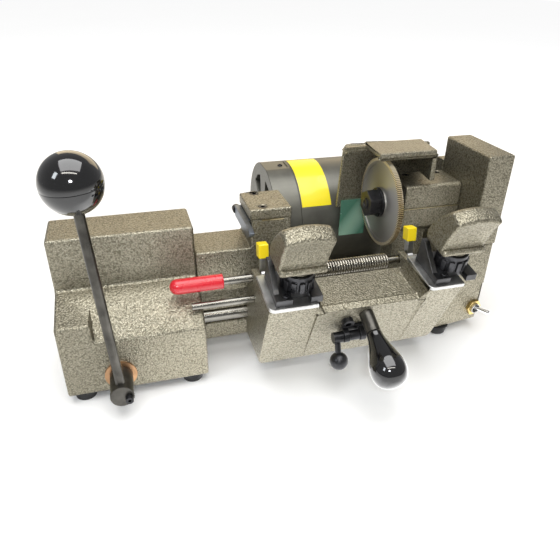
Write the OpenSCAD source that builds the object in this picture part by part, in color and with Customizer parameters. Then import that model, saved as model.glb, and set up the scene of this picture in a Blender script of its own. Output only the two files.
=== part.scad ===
// Bench key duplicating machine: tracer and cutter on a cast base, tilting
// carriage with two vises on a sliding rack shaft, motor and belt behind.
// Millimetres, Z up. The origin is below the middle of the whole machine, on
// the bench. Modules are drawn from the left front corner of the castings.

/* [Base castings] */
// Depth of the castings along Y
case_dep = 100; // [90:1:120]
// Height of the rubber feet
foot_h = 10; // [6:1:16]
// Casting wall thickness
wall = 6; // [4:0.5:9]
// Length of the left housing
left_len = 135; // [110:1:160]
// Height of the tall rear part of the left housing
left_top = 151; // [130:1:170]
// Depth of the low front part of the left housing
ledge_dep = 49.5; // [40:0.5:60]
// Height at the rear of the sloping ledge
ledge_rear_z = 98; // [85:1:110]
// Height at the front of the sloping ledge
ledge_front_z = 87; // [75:1:96]
// Top of the rear rail
rail_top = 121; // [110:1:130]
// Top of the low bed
bed_top = 30; // [24:1:36]
// Front face of the rail and guide pedestal
rail_y = 51; // [50:0.5:56]
// Front face of the bed
bed_y = 59; // [57:0.5:64]

/* [Cutter and tracer] */
// Spindle axis, distance back from the front face
spin_y = 75; // [74:0.5:77]
// Spindle axis height
spin_z = 147; // [144:0.5:150]
// Middle plane of the cutter wheel, left of the spindle pedestal
cutter_out = 19; // [18:0.5:20]
// Cutter wheel radius to the tooth tips
cutter_r = 48; // [40:0.5:50]
// Number of cutter teeth
teeth = 150; // [72:2:160]
// Height of the tracer blade tip
tracer_z = 147; // [144:0.5:150]

/* [Belt drive] */
// Pulley plane, in from the right end
belt_in = 15; // [13:0.5:17]
// Pitch radius of the spindle pulley
pul_s_r = 22; // [18:0.5:24]
// Pitch radius of the motor pulley
pul_m_r = 16; // [14:0.5:22]
// Top of the belt column
col_top = 208; // [195:1:215]

/* [Motor] */
// Motor barrel radius
mot_r = 69.5; // [60:0.5:70]
// Motor axis, distance back from the front face
mot_y = 204.5; // [204:0.5:212]
// Motor axis height
mot_z = 85.5; // [85.5:0.5:90]
// Left end of the motor, from the right end of the castings
mot_back = 216.5; // [212:0.5:220]
// Motor length over the end bells
mot_len = 156; // [140:1:156]

/* [Carriage] */
// Main shaft axis, distance back from the front face
piv_y = 44; // [42:0.5:45]
// Main shaft axis height
piv_z = 50.6; // [49:0.1:52]
// Main shaft diameter
shaft_d = 12.7; // [10:0.1:14]
// Gap between the left housing and the carriage
car_gap = 49.5; // [45:0.5:53]
// Length of the carriage
car_len = 194; // [190:1:200]
// Slope of the vise seats
seat_deg = 10.2; // [5:0.1:14]
// Height of the front edge of the vise plates
seat_z = 108.9; // [104:0.1:112]
// Front edge of the vise plates, in front of the housing face
seat_y = -49.2; // [-54:0.1:-44]

/* [Levers and gauge] */
// Lever axis from the left end
lev_x = 51; // [44:0.5:60]
// Lever axis height
lev_z = 28; // [28:0.5:30]
// Distance from the lever axis to the ball centre
lev_len = 201.6; // [160:0.1:220]
// Lean of the lever to the left
lev_deg = 3.07; // [0:0.01:10]
// Operating ball diameter
ball_d = 47.6; // [40:0.1:52]
// Gauge rod axis, distance back from the front face
gau_y = 17.5; // [15:0.5:20]
// Gauge rod axis height
gau_z = 106; // [104:0.5:108]
// Gauge rod diameter
gau_d = 8; // [6:0.5:9]

/* [Hidden] */
$fn = 48;
eps = 0.01;
run = 0.05;          // radial running clearance of a shaft in its bearing
gap = 0.3;           // air gap between pieces that move past each other
car_x0 = left_len + car_gap;
car_x1 = car_x0 + car_len;
pitch = car_len - 37;   // spacing of the two vises
right_x = car_x1 + 21.5; // left face of the right base
case_len = right_x + 60; // whole length of the castings
org_x = case_len / 2 + 1.1; // middle of the whole machine, from the left and front faces
org_y = 81.8;
rot_x = [90, 0, 90]; // turns a (y, z) profile so that it extrudes along X
pin_m = 1.75;        // rack and pinion module
pin_n = 20;          // pinion teeth
pin_r = pin_m * pin_n / 2;
rack_p = PI * pin_m; // tooth spacing of the rack
ap_dy = 0.41880;     // apron direction, downwards and back
ap_dz = -0.90808;
ap_deg = atan2(ap_dy, -ap_dz);
seam_z = 143;        // joint between spindle pedestal and cap
cap_z = 169;         // top of the spindle cap
web_y = bed_y + 5;   // front of the web below the rail, clear of the carriage bearings
cap_x = right_x - 37; // left face of the spindle pedestal
col_x = right_x + 30; // left face of the belt column
cutter_x = cap_x - cutter_out;
belt_x = case_len - belt_in;
col_seam = 108.7;    // joint between base and belt column
gp_x0 = left_len + 57; // guide pedestal
gp_x1 = gp_x0 + 42;
gp_top = 151;        // joint between guide pedestal and guide cap
lever_y = -25;       // plane in which the lever swings
hub_y = -33;         // front end of the lever hub
jour_d = 15;         // spindle journals
nose_d = 12.7;       // spindle nose that carries the cutter
seat_d = 28;         // bearing seats
mot_shaft_d = 12;    // motor shaft
mot_x0 = case_len - mot_back;
mot_x1 = mot_x0 + mot_len;
bar_end = mot_x0 + 32.5; // joint between left end bell and barrel
barrel_end = mot_x1 - 27.5; // joint between barrel and right end bell
wall_t = 7;          // carriage side walls
car_in_l = car_x0 + 47.5; // inner faces of the carriage walls
car_in_r = car_x0 + pitch;
latch_d = 51.7;      // latch pin down the apron and out from it
latch_h = 9;
car_top = 16.1;      // top edge of the apron between the vises, down the apron
car_bot = 100;       // lower edge of the apron
car_round = 6.5;     // rounding of its lower corners
stud_x = 31.5;       // vise stud in the vise frame
stud_u = 24;
stud_d = 10;
wing_n = 28;         // wing knob underside above the vise plate
wing_w = 45;         // wing knob width
plate_w = [46, car_x1 - car_in_r];
finger_x = [car_x0 + 8.5, car_in_r + 8.5];
guide_screw_y = [58.5, 95];
cap_screw_x = [cap_x + 18, cap_x + 56];
col_screw_x = [col_x + 11, col_x + 19];
cord_x = col_x + 12;
handle_x = car_x0 + 98.8;
latch_x = car_x0 + 67.5; // left end of the latch pin
tracer_x = gp_x0 - 7;
wire_d = 3.5;
coil_p = wire_d * 0.97;
coils = floor((car_in_r - car_in_l - 28) / coil_p); // gauge spring
sw_deg = 8.23;       // slant of the front of the right base

// (y, z) of a point d down the apron and h outwards from it
function ap(d, h) = [seat_y + d * ap_dy + h * ap_dz, seat_z + d * ap_dz - h * ap_dy];

// (y, z) of a point u back along a vise plate and n above it
function vp(u, n) = [seat_y + u * cos(seat_deg) - n * sin(seat_deg),
  seat_z + u * sin(seat_deg) + n * cos(seat_deg)];

// Corner datum to the datum below the middle of the machine
module placed() {
  translate([-org_x, -org_y, 0]) children();
}

// Profile in (y, z) drawn along X from x0 to x1
module along_x(x0, x1) {
  translate([x0, 0, 0]) rotate(rot_x) linear_extrude(x1 - x0) children();
}

// Round bar along X
module bar_x(x0, x1, y, z, d) {
  translate([x0, y, z]) rotate([0, 90, 0]) cylinder(d = d, h = x1 - x0);
}

// Round bar along Y
module bar_y(x, y0, y1, z, d) {
  translate([x, y1, z]) rotate([90, 0, 0]) cylinder(d = d, h = y1 - y0);
}

// Block from one corner to the other
module block(a, b) {
  translate(a) cube(b - a);
}

// Frame on a vise plate: X along the machine, Y back, Z square to the plate
module vise_frame(i) {
  translate([car_x0 + i * pitch, seat_y, seat_z]) rotate([seat_deg, 0, 0]) children();
}

// Frame on the apron: Z square to the apron and outwards, Y up the apron
module apron_frame(x, down) {
  translate([x, seat_y + down * ap_dy, seat_z + down * ap_dz]) rotate([90 + ap_deg, 0, 0]) children();
}

// Frame on the switch: Z square to the slanting front of the right base
module switch_frame() {
  translate([case_len - 10, 20.55, 27.5]) rotate([0, 0, sw_deg]) rotate([90, 0, 0]) children();
}

// Head, hex socket and shank of a cap screw pointing down, top of the head at Z = 0
module cap_screw(d, l) {
  difference() {
    union() {
      translate([0, 0, -d]) cylinder(d = 1.6 * d, h = d);
      translate([0, 0, -d - l]) cylinder(d = d, h = l + eps);
    }
    translate([0, 0, -0.6 * d]) cylinder(d = 0.95 * d, h = d, $fn = 6);
  }
}

module cap_screw_hole(d, l) {
  translate([0, 0, -d - 0.5]) cylinder(d = 1.6 * d + 0.4, h = d + 2);
  translate([0, 0, -d - l - 1]) cylinder(d = d, h = l + 1);
}

module feet_at() {
  for (p = [[15, 14], [15, 86], [left_len - 15, 14], [col_x + 7, 88], [right_x + 8.5, 24],
    [mot_x0 + 12.5, 248], [mot_x1 - 15.5, 248]]) translate([p[0], p[1], 0]) children();
}

module motor_screws_at() {
  for (x = [bar_end + 8, barrel_end - 10], y = [174, 235]) translate([x, y, 0]) children();
}

module foot_boss() {
  feet_at() translate([0, 0, foot_h]) cylinder(d = 20, h = 14);
}

module foot_holes() {
  feet_at() translate([0, 0, foot_h - 1]) cylinder(d = 5, h = 9);
}

module spindle_bores() {
  bar_x(cap_x - 1, col_x + 1, spin_y, spin_z, 19);
  bar_x(cap_x - 1, cap_x + 12, spin_y, spin_z, seat_d);
  bar_x(col_x - 12, col_x + 1, spin_y, spin_z, seat_d);
}

// Left part of the base: gearbox of the lever
module left_housing() {
  color("DarkKhaki") placed() difference() {
    union() {
      difference() {
        along_x(0, left_len) polygon([[0, foot_h], [0, ledge_front_z], [ledge_dep, ledge_rear_z],
          [ledge_dep, left_top], [case_dep, left_top], [case_dep, foot_h]]);
        along_x(wall, left_len - wall) polygon([[wall, foot_h - 1], [wall, 60], [27, 82], [55.5, 90.5],
          [55.5, left_top - wall], [case_dep - wall, left_top - wall], [case_dep - wall, foot_h - 1]]);
        // relief for the stop rod
        along_x(left_len - 104, left_len + 1) polygon([[-1, 65.5], [25, 92.6], [25, 110], [-1, 110]]);
      }
      intersection() {
        foot_boss();
        block([1, 1, foot_h], [left_len - 1, case_dep - 1, 40]);
      }
      // web that carries the rear end of the lever shaft
      block([wall - 1, 54, 12], [left_len - wall + 1, 62, 40]);
    }
    bar_x(left_len - wall - 1, left_len + 1, piv_y, piv_z, shaft_d + 5);
    bar_y(lev_x, -1, wall + 1, lev_z, 17);
    bar_y(lev_x, 53, 63, lev_z, 16);
    foot_holes();
  }
}

// Middle of the base: rail, guide pedestal and bed, cast solid
module rail_bed() {
  color("DarkKhaki") placed() difference() {
    union() {
      for (e = [[left_len, gp_x0, rail_top], [gp_x0, gp_x1, gp_top]]) along_x(e[0], e[1])
        polygon([[rail_y, e[2]], [rail_y, 74], [web_y, 68], [web_y, bed_top - 1],
          [case_dep, bed_top - 1], [case_dep, e[2]]]);
      block([left_len, bed_y, foot_h], [cap_x, case_dep, bed_top]);
    }
    for (y = guide_screw_y) translate([gp_x0 + 14, y, 124]) cylinder(d = 5, h = 28);
  }
}

// Right part of the base: spindle pedestal and the box under the belt column
module right_base() {
  color("DarkKhaki") placed() difference() {
    union() {
      difference() {
        union() {
          block([cap_x, bed_y, foot_h], [right_x + 1, case_dep, bed_top]);
          along_x(cap_x, col_x) polygon([[56, seam_z], [56, 121], [70, 112], [70, bed_top - 1],
            [case_dep, bed_top - 1], [case_dep, seam_z]]);
          translate([0, 0, foot_h]) linear_extrude(col_seam - foot_h)
            polygon([[right_x, 14], [right_x + 22, 16.5], [case_len, 22], [case_len, case_dep],
              [right_x, case_dep]]);
        }
        block([right_x + 7, 30, foot_h - 1], [case_len - 10, case_dep - wall, 96]);
      }
      intersection() {
        foot_boss();
        block([right_x + 1, 20, foot_h], [case_len - 1, case_dep - 1, 40]);
      }
    }
    // right end stepped in below the middle
    block([case_len - 2.5, 0, foot_h - 1], [case_len + 1, case_dep + 1, 57]);
    bar_x(right_x - 1, right_x + 8, piv_y, piv_z, shaft_d + 5);
    spindle_bores();
    for (x = cap_screw_x) translate([x, 94.5, 130]) cylinder(d = 5, h = 14);
    for (x = col_screw_x) translate([x, 32, col_seam - 12]) cylinder(d = 4, h = 13);
    switch_frame() {
      translate([0, 0, -12]) cylinder(d = 12, h = 14);
      translate([-5.2, -9.5, -30]) cube([10.4, 19, 24]);
    }
    bar_y(cord_x, case_dep - wall - 1, case_dep + 1, 32, 14);
    foot_holes();
  }
}

// Shelf behind the bed, with two saddles for the motor
module motor_shelf() {
  color("DarkKhaki") placed() difference() {
    union() {
      block([mot_x0 - 3.5, case_dep, foot_h], [mot_x1 + 0.5, 262, 15.5]);
      for (x = [bar_end + 2, barrel_end - 16]) block([x, 156, foot_h], [x + 12, 253, 35]);
      intersection() {
        foot_boss();
        block([mot_x0 - 3.5, 200, foot_h], [mot_x1 + 0.5, 262, 16.5]);
      }
    }
    bar_x(mot_x0 - 10, mot_x1 + 10, mot_y, mot_z, 2 * mot_r + 0.1);
    motor_screws_at() {
      translate([0, 0, foot_h - 1]) cylinder(d = 5, h = 30);
      translate([0, 0, foot_h - 1]) cylinder(d = 9.2, h = 4);
    }
    foot_holes();
  }
}

module rubber_feet() {
  color("DimGray") placed() feet_at() difference() {
    cylinder(d1 = 20, d2 = 24, h = foot_h);
    translate([0, 0, -1]) cylinder(d = 10, h = 5);
    translate([0, 0, -1]) cylinder(d = 5, h = foot_h + 2);
  }
}

// One kind of screw for the feet and the motor
module base_screws() {
  color("Gray") placed() {
    feet_at() translate([0, 0, 4]) base_screw(15);
    motor_screws_at() translate([0, 0, foot_h + 3]) base_screw(20);
  }
}

// Screw pointing up, with the top face of its head at Z = 0
module base_screw(l) {
  translate([0, 0, -3]) cylinder(d = 9.2, h = 3);
  translate([0, 0, -3]) cylinder(d = 5, h = l);
}

module guide_cap() {
  color("DarkKhaki") placed() difference() {
    block([gp_x0 - 1, 50, gp_top], [gp_x1, case_dep, gp_top + 11]);
    for (y = guide_screw_y) translate([gp_x0 + 14, y, gp_top + 11]) cap_screw_hole(5, 14);
  }
}

module cap_screws() {
  color("DimGray") placed() {
    for (y = guide_screw_y) translate([gp_x0 + 14, y, gp_top + 10.5]) cap_screw(5, 30);
    for (x = cap_screw_x) translate([x, 94.5, cap_z - 0.5]) cap_screw(5, 30);
  }
}

module tracer_blade() {
  color("SlateGray") placed() difference() {
    union() {
      block([tracer_x, spin_y - cutter_r, tracer_z - 8], [tracer_x + 5, 95, tracer_z + 3.9]);
      block([tracer_x, 53, tracer_z - 8], [gp_x0, 94, tracer_z + 3.9]);
    }
    // bevels that leave a nose as fine as the cutter rim
    along_x(tracer_x - 1, tracer_x + 6)
      polygon([[26, tracer_z + 5], [26, tracer_z + 0.8], [40, tracer_z + 5]]);
    along_x(tracer_x - 1, tracer_x + 6)
      polygon([[26, tracer_z - 9], [26, tracer_z - 0.8], [40, tracer_z - 9]]);
    bar_y(tracer_x + 2.4, 88, 96, tracer_z - 2, 3);
  }
}

module tracer_adjust_screw() {
  color("DimGray") placed() {
    bar_y(tracer_x + 2.4, 88.2, 96, tracer_z - 2, 3);
    bar_y(tracer_x + 2.4, 95, 101, tracer_z - 2, 9);
  }
}

module spindle_cap() {
  color("DarkKhaki") placed() difference() {
    along_x(cap_x, col_x) polygon([[56, seam_z], [56, cap_z - 3], [59, cap_z], [case_dep, cap_z],
      [case_dep, seam_z]]);
    spindle_bores();
    for (x = cap_screw_x) translate([x, 94.5, cap_z]) cap_screw_hole(5, 30);
  }
}

module spindle_bearings() {
  color("Silver") placed() for (x = [cap_x + 0.5, col_x - 11.5]) difference() {
    bar_x(x, x + 11, spin_y, spin_z, seat_d);
    bar_x(x - 1, x + 12, spin_y, spin_z, jour_d + 2 * run);
    for (e = [x - 1, x + 10.5]) difference() {
      bar_x(e, e + 1.5, spin_y, spin_z, 24);
      bar_x(e - 1, e + 3, spin_y, spin_z, 18);
    }
  }
}

// Closed line round both pulleys, d outside the pitch circles
module belt_loop(d) {
  hull() {
    translate([spin_y, spin_z]) circle(r = pul_s_r + d, $fn = 40);
    translate([mot_y, mot_z]) circle(r = pul_m_r + d, $fn = 40);
  }
}

module drive_belt() {
  color("Black") placed() along_x(belt_x - 4, belt_x + 4) difference() {
    belt_loop(2.2);
    belt_loop(-1.6);
  }
}

module belt_housing() {
  color("DarkKhaki") placed() difference() {
    block([col_x, 19, col_seam], [case_len, case_dep, col_top]);
    difference() {
      block([col_x + wall, 19 + wall, col_seam - 1], [case_len - wall, case_dep + 1, col_top - wall]);
      block([col_x, 19, col_seam - 2], [case_len, 39, col_seam + 9]);
    }
    bar_x(col_x - 1, col_x + wall + 1, spin_y, spin_z, 17);
    for (x = col_screw_x) translate([x, 32, col_seam + 9]) cylinder(d = 7, h = 4, center = true);
    for (x = col_screw_x) translate([x, 32, col_seam - 1]) cylinder(d = 4, h = 12);
  }
}

module belt_housing_screws() {
  color("DimGray") placed() for (x = col_screw_x) translate([x, 32, col_seam + 7]) {
    cylinder(d = 6.6, h = 4);
    translate([0, 0, -18]) cylinder(d = 4, h = 18.5);
  }
}

module rear_belt_guard() {
  color("DarkKhaki") placed() difference() {
    along_x(col_x, case_len - 4) polygon([[case_dep, 100], [case_dep, 181], [112, 181], [222, 118],
      [236, 98], [236, 74], [218, 58], [190, 58]]);
    along_x(col_x + 4, case_len - 8) polygon([[case_dep - 1, 105], [case_dep - 1, 177], [111, 177],
      [219, 115], [232, 96], [232, 76], [216, 62], [191, 62]]);
    bar_x(col_x - 1, col_x + 5, mot_y, mot_z, 15);
  }
}

module cutter_guard() {
  color("DarkKhaki") placed() {
    // top, falling to the rear
    translate([0, 54, 208]) rotate([-8.3, 0, 0]) translate([0, 0, -6])
      linear_extrude(6) polygon([for (p = [[-17, 0], [47, 0], [74, 80], [2, 80]]) [cutter_x + p[0], p[1]]]);
    // front lip
    block([cutter_x - 17, 54, 199.5], [cutter_x + 47, 58, 203]);
    // rear wall with a foot on the spindle pedestal
    translate([0, 134, 0]) rotate([90, 0, 0]) linear_extrude(5)
      polygon([for (p = [[-29, 121], [84, 121], [84, 193], [-14, 196.6], [-22, 196], [-25, 191]])
        [cutter_x + p[0], p[1]]]);
    block([cap_x + 21, case_dep, 121], [cap_x + 61, 130, 128]);
    // right cheek
    along_x(cutter_x + 43.5, cutter_x + 49.5) polygon([[54.5, 203], [54.5, 174], [129.5, 183], [129.5, 193]]);
  }
}

module chip_shield() {
  color("MediumSeaGreen", 0.5) placed() block([cutter_x - 24, 127, 85], [cutter_x + 8, 129, 130]);
}

module motor_barrel() {
  color("DimGray") placed() difference() {
    bar_x(bar_end, barrel_end, mot_y, mot_z, 2 * mot_r);
    bar_x(bar_end - 1, bar_end + 22, mot_y, mot_z, 2 * mot_r - 8);
    bar_x(bar_end + 21, barrel_end - 19, mot_y, mot_z, 88);
    bar_x(barrel_end - 20, barrel_end + 1, mot_y, mot_z, 2 * mot_r - 8);
    motor_screws_at() cylinder(d = 5, h = 32);
  }
}

// Cooling slots in the end face of a bell
module bell_slots(x) {
  for (a = [30:60:330]) translate([x, mot_y, mot_z]) rotate([a, 0, 0]) rotate(rot_x)
    linear_extrude(12) polygon([[-5, 26], [5, 26], [15, 52], [0, 55], [-15, 52]]);
}

module motor_end_bell_left() {
  color("DimGray") placed() difference() {
    bar_x(mot_x0, bar_end, mot_y, mot_z, 2 * mot_r);
    bar_x(mot_x0 + 8, bar_end + 1, mot_y, mot_z, 2 * mot_r - 12);
    bar_x(mot_x0 - 1, mot_x0 + 9, mot_y, mot_z, mot_shaft_d + 2 * run);
    bell_slots(mot_x0 - 2);
    // milled flat with its tapped hole
    block([mot_x0 - 1, mot_y - 40, 153.5], [mot_x0 + 29, mot_y + 40, 160]);
    translate([mot_x0 + 21.5, mot_y - 3, 144]) cylinder(d = 4, h = 12);
  }
}

module motor_end_bell_right() {
  color("DimGray") placed() difference() {
    bar_x(barrel_end, mot_x1, mot_y, mot_z, 2 * mot_r);
    bar_x(barrel_end - 1, mot_x1 - 8, mot_y, mot_z, 2 * mot_r - 12);
    bar_x(mot_x1 - 9, mot_x1 + 1, mot_y, mot_z, mot_shaft_d + 2 * run);
    bell_slots(mot_x1 - 10);
  }
}

module motor_label() {
  color("Gold") placed() intersection() {
    difference() {
      bar_x(bar_end + 1, bar_end + 38, mot_y, mot_z, 2 * mot_r + 0.6);
      bar_x(bar_end, bar_end + 39, mot_y, mot_z, 2 * mot_r + 0.02);
    }
    along_x(bar_end, bar_end + 40) polygon([[mot_y, mot_z], [mot_y + 17.6, mot_z + 100],
      [mot_y - 100, mot_z + 100], [mot_y - 100, mot_z + 55.4]]);
  }
}

module cord_bushing() {
  color("Black") placed() difference() {
    union() {
      bar_y(cord_x, case_dep - wall - 2, case_dep + 1, 32, 14);
      bar_y(cord_x, case_dep, case_dep + 3, 32, 20);
    }
    bar_y(cord_x, case_dep - wall - 3, case_dep + 4, 32, 8);
  }
}

module switch_body() {
  color("Silver") placed() switch_frame() difference() {
    union() {
      translate([0, 0, -7]) cylinder(d = 12, h = 13);
      translate([-5, -9.2, -27]) cube([10, 18.4, 20.5]);
    }
    // room for the bat, open to the front
    translate([0, 0, 0]) cylinder(d1 = 7, d2 = 10, h = 6.1);
    translate([0, 0, -4]) cylinder(d = 7, h = 4.1);
  }
}

module switch_nut() {
  color("Goldenrod") placed() switch_frame() difference() {
    cylinder(d = 19.6, h = 3.5, $fn = 6);
    translate([0, 0, -1]) cylinder(d = 12, h = 6);
  }
}

// Thrown to the right at rest
module switch_bat() {
  color("Silver") placed() switch_frame() rotate([0, 23, 0]) {
    sphere(d = 6);
    rotate([90, 0, 0]) cylinder(d = 2.4, h = 6.6, center = true);
    cylinder(d1 = 3, d2 = 5, h = 19.5);
    translate([0, 0, 19.5]) cylinder(d1 = 5, d2 = 3, h = 1.2);
  }
}

// Bushings of the main shaft and of the lever shaft
module bushings() {
  color("Goldenrod") placed() {
    for (e = [[left_len - wall, wall], [right_x, wall + 1]]) difference() {
      bar_x(e[0], e[0] + e[1], piv_y, piv_z, shaft_d + 5);
      bar_x(e[0] - 1, e[0] + 9, piv_y, piv_z, shaft_d + 2 * run);
    }
    // lever shaft, flanged at the front
    difference() {
      union() {
        bar_y(lev_x, -1.5, 0, lev_z, 30);
        bar_y(lev_x, -1, wall, lev_z, 17);
        bar_y(lev_x, 54, 62, lev_z, 16);
      }
      bar_y(lev_x, -2, 63, lev_z, shaft_d + 2 * run);
    }
  }
}

module spindle_shaft() {
  color("Silver") placed() {
    bar_x(cutter_x - 17, cap_x + 0.4, spin_y, spin_z, nose_d);
    bar_x(cap_x + 0.4, belt_x + 7, spin_y, spin_z, jour_d);
  }
}

// Side milling cutter with straight teeth
module cutter_wheel() {
  color("Goldenrod") placed() difference() {
    translate([cutter_x - 2.5, spin_y, spin_z]) rotate(rot_x) linear_extrude(5)
      polygon([for (i = [0:2 * teeth - 1])
        let (r = cutter_r - 1.3 * (i % 2), a = i * 180 / teeth + (i % 2) * 0.6)
        [r * cos(a), r * sin(a)]]);
    bar_x(cutter_x - 3, cutter_x + 3, spin_y, spin_z, nose_d);
    // dished sides
    for (e = [cutter_x - 3.5, cutter_x + 1.7]) difference() {
      bar_x(e, e + 1.8, spin_y, spin_z, 82);
      bar_x(e - 1, e + 3, spin_y, spin_z, 32);
    }
  }
}

module cutter_collar() {
  color("DimGray") placed() difference() {
    bar_x(cutter_x + 2.5, cap_x - 0.3, spin_y, spin_z, 30);
    bar_x(cutter_x + 2, cap_x, spin_y, spin_z, nose_d);
  }
}

module cutter_nut() {
  color("DimGray") placed() difference() {
    union() {
      bar_x(cutter_x - 5.5, cutter_x - 2.5, spin_y, spin_z, 32);
      translate([cutter_x - 18, spin_y, spin_z]) rotate([0, 90, 0]) cylinder(d = 30, h = 13, $fn = 6);
    }
    bar_x(cutter_x - 19, cutter_x, spin_y, spin_z, nose_d);
  }
}

module pulley(r, bore) {
  rotate([0, 90, 0]) difference() {
    rotate_extrude() polygon([[0, -7], [r + 3, -7], [r + 3, -5], [r - 1.9, -4.3], [r - 1.9, 4.3],
      [r + 3, 5], [r + 3, 7], [0, 7]]);
    cylinder(d = bore, h = 20, center = true);
  }
}

module spindle_pulley() {
  color("Gray") placed() translate([belt_x, spin_y, spin_z]) pulley(pul_s_r, jour_d);
}

module motor_pulley() {
  color("Gray") placed() translate([belt_x, mot_y, mot_z]) pulley(pul_m_r, mot_shaft_d);
}

// Shaft with the rotor core pressed on
module motor_shaft() {
  color("Silver") placed() {
    bar_x(mot_x0 + 0.5, belt_x + 7, mot_y, mot_z, mot_shaft_d);
    bar_x(bar_end + 24, barrel_end - 22, mot_y, mot_z, 87);
  }
}

module lever_hub() {
  color("DimGray") placed() difference() {
    union() {
      bar_y(lev_x, hub_y, -1.8, lev_z, 21.5);
      bar_y(lev_x, hub_y + 1, 61.5, lev_z, shaft_d);
    }
    // seat of the rod
    translate([lev_x, lever_y, lev_z]) rotate([0, -lev_deg, 0]) cylinder(d = 8.5, h = 14);
    translate([lev_x + 6, hub_y + 6.5, lev_z - 2]) rotate([90, 0, 0]) cylinder(d = 6, h = 9);
  }
}

module lever_rod() {
  color("Silver") placed() translate([lev_x, lever_y, lev_z]) rotate([0, -lev_deg, 0])
    cylinder(d = 8.5, h = lev_len - 6);
}

module lever_ball() {
  color("Black") placed() translate([lev_x, lever_y, lev_z]) rotate([0, -lev_deg, 0]) difference() {
    translate([0, 0, lev_len]) sphere(d = ball_d, $fn = 64);
    translate([0, 0, lev_len - ball_d / 2 - 1]) cylinder(d = 8.5, h = ball_d / 2 - 5);
  }
}

module lever_set_screw() {
  color("DimGray") placed() translate([lev_x + 6, hub_y - 5, lev_z - 2]) rotate([-90, 0, 0]) difference() {
    union() {
      cylinder(d = 6, h = 11);
      cylinder(d1 = 7, d2 = 7.6, h = 4.5);
    }
    translate([0, 0, -1]) cylinder(d = 3.2, h = 4, $fn = 6);
  }
}

module lever_pinion() {
  color("Silver") placed() translate([lev_x, 50, lev_z]) rotate([90, 0, 0]) difference() {
    union() {
      cylinder(r = pin_r - 2.3, h = 12);
      for (k = [0:pin_n - 1]) rotate([0, 0, k * 360 / pin_n]) linear_extrude(12)
        polygon([[-1.9, pin_r - 3], [-1.1, pin_r], [-0.55, pin_r + 1.5], [0.55, pin_r + 1.5],
          [1.1, pin_r], [1.9, pin_r - 3]]);
    }
    translate([0, 0, -1]) cylinder(d = shaft_d, h = 14);
  }
}

// Sliding shaft, with the rack cut in its underside at the lever
module main_shaft() {
  color("Silver") placed() difference() {
    bar_x(lev_x - 18, right_x + 33, piv_y, piv_z, shaft_d);
    for (k = [-3:6]) translate([lev_x + k * rack_p, piv_y + 10, lev_z + pin_r]) rotate([90, 0, 0])
      linear_extrude(20) polygon([[-2.4, -2.5], [2.4, -2.5], [1.5, 0], [0.75, 2], [-0.75, 2], [-1.5, 0]]);
  }
}

module shaft_collars() {
  color("DimGray") placed() for (x = [car_in_l + gap, car_in_r - gap - 8]) difference() {
    bar_x(x, x + 8, piv_y, piv_z, 22);
    bar_x(x - 1, x + 9, piv_y, piv_z, shaft_d);
    translate([x + 4, piv_y, piv_z + 6]) cylinder(d = 4, h = 6);
  }
}

module carriage() {
  color("DarkKhaki") placed() difference() {
    union() {
      // side walls
      for (x = [car_x0, car_in_l - wall_t, car_in_r, car_x1 - wall_t]) {
        along_x(x, x + wall_t) polygon([vp(1, -4), vp(50, -4), [17, 114], [26, 106], [27, 97],
          [50, 62.4], [55, 50], [47, 40], [46, 17.9], ap(car_bot, 0)]);
        bar_x(x, x + wall_t, piv_y, piv_z, 25);
        bar_x(x, x + wall_t, gau_y, gau_z, 17);
      }
      // apron
      along_x(car_x0, car_x1) polygon([ap(car_top, 0), ap(car_bot, 0), ap(car_bot, -8), ap(car_top, -8)]);
      // recess floor
      along_x(car_in_l - 1, car_in_r + 1)
        polygon([ap(car_top, 0), [7, 103.2], [7, 97.2], ap(car_top + 6, -1)]);
      // vise seats
      for (e = [[car_x0, car_in_l], [car_in_r, car_x1]]) along_x(e[0], e[1])
        polygon([vp(1, -4), ap(car_top + 1, 0), ap(car_top + 1, -8), vp(50, -14), vp(50, -4)]);
      // slopes beside the recess
      vise_frame(0) translate([0, 50, 0]) rotate([90, 0, 0]) linear_extrude(47)
        polygon([[47, -4], [47, -17], [55, -17]]);
      vise_frame(1) translate([0, 50, 0]) rotate([90, 0, 0]) linear_extrude(47)
        polygon([[0.5, -4], [0.5, -17], [-7.5, -17]]);
    }
    bar_x(car_x0 - 1, car_x1 + 1, piv_y, piv_z, shaft_d + 2 * run);
    bar_x(car_x0 - 1, car_x1 + 1, gau_y, gau_z, gau_d + 2 * run);
    bar_x(car_x0 - 1, car_x0 + 6.5, 10, 86.4, 7.2);
    for (i = [0, 1]) vise_frame(i) translate([stud_x, stud_u, -10]) cylinder(d = stud_d, h = 8);
    apron_frame(handle_x, 28.3) translate([0, 0, -9]) cylinder(d = 8, h = 10);
    apron_frame(latch_x + 14, 37) translate([0, 0, -9]) cylinder(d = 6, h = 10);
    // rounded lower corners
    for (e = [[car_x0, 0], [car_x1, 1]]) translate([e[0], 50, ap(car_bot, 0)[1] - 0.3]) mirror([e[1], 0, 0])
      rotate([90, 0, 0]) translate([-1, -1, 0]) linear_extrude(70) difference() {
        square(1 + car_round);
        translate([1 + car_round, 1 + car_round]) circle(r = car_round);
      }
  }
}

module vise_plates() {
  color("Silver") placed() for (i = [0, 1]) vise_frame(i) difference() {
    translate([0, 0, -4]) linear_extrude(4) difference() {
      square([plate_w[i], 50]);
      difference() {
        translate([-1, -1]) square([7, 7]);
        translate([6, 6]) circle(r = 6);
      }
    }
    translate([stud_x, stud_u, -5]) cylinder(d = stud_d, h = 6);
  }
}

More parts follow.
